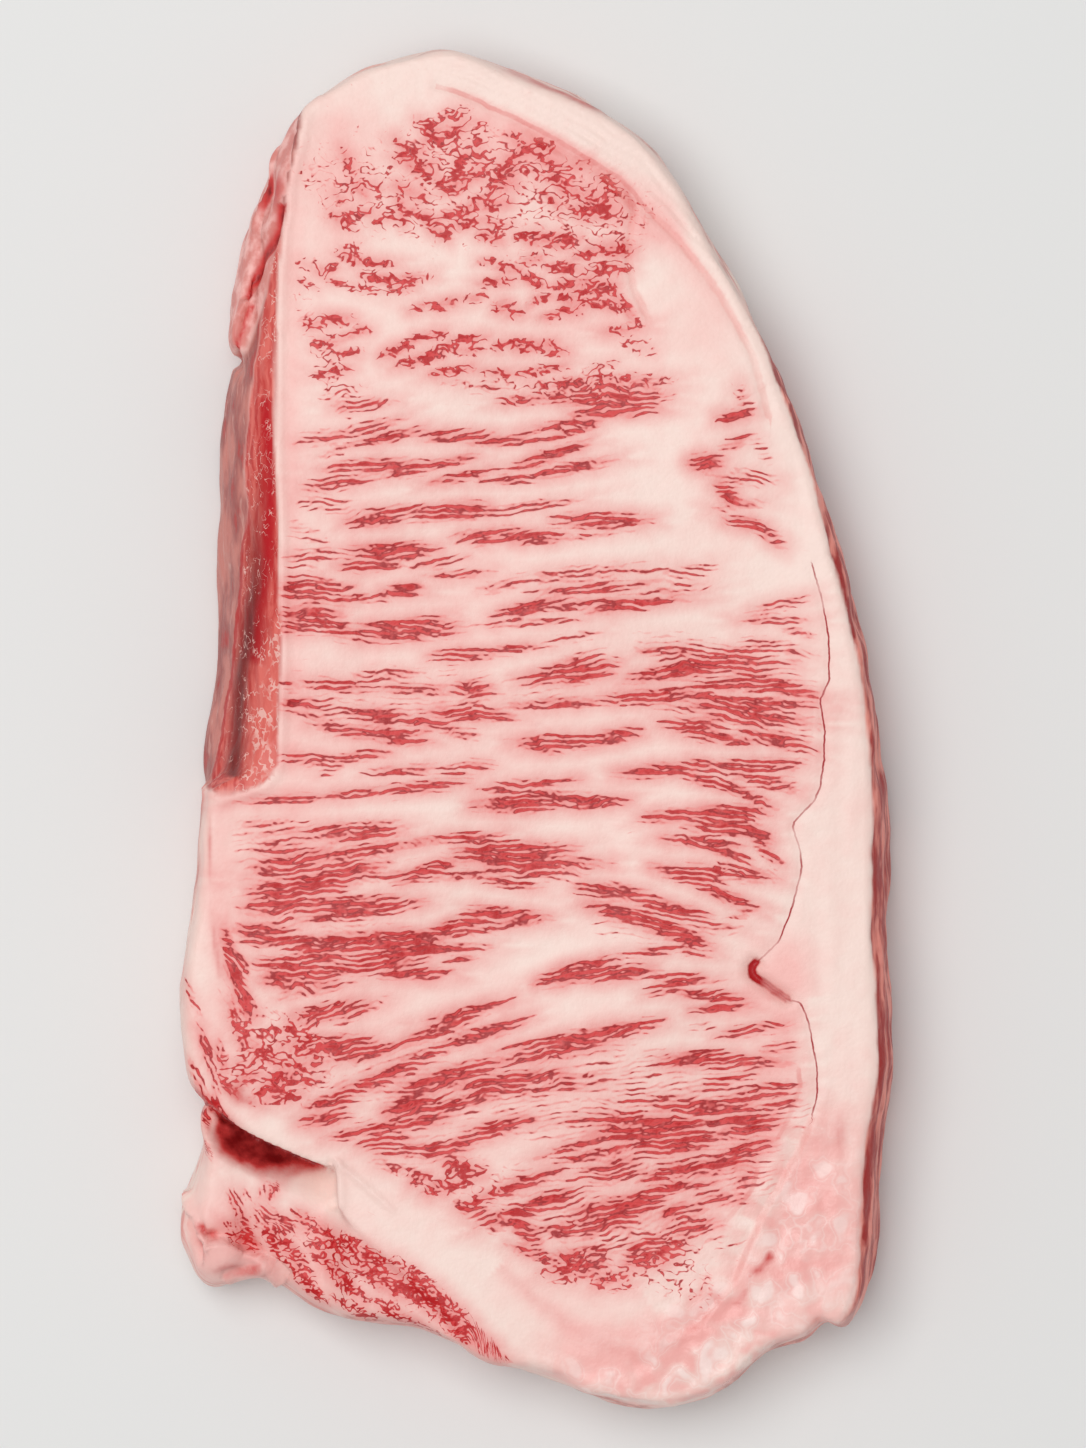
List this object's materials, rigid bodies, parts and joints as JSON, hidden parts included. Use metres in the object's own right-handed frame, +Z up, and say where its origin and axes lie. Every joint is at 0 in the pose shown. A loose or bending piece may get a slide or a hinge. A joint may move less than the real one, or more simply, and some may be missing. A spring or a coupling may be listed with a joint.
{
  "type": "raw sirloin steak",
  "caption": "Thick-cut raw sirloin steak, heavily marbled, with a fat cap along one side, a sloping wall of bare lean and silverskin along the other and a tail lobe tucked under its rim.",
  "frame": {"origin": "middle of the face it rests on, on the surface it lies on", "axes": "+Y along the steak towards its narrower end, +X towards the fat cap, +Z up, out of the marbled cut face"},
  "size_m": [0.126, 0.24, 0.025],
  "materials": {
    "marbled_beef": "raw beef, moist satin: cream fat with fine crimson lean flecks on the cut face, pale cream fat and brownish red membrane round the sides"
  },
  "bodies": {
    "root": {"steak": "marbled_beef"}
  },
  "joints": []
}
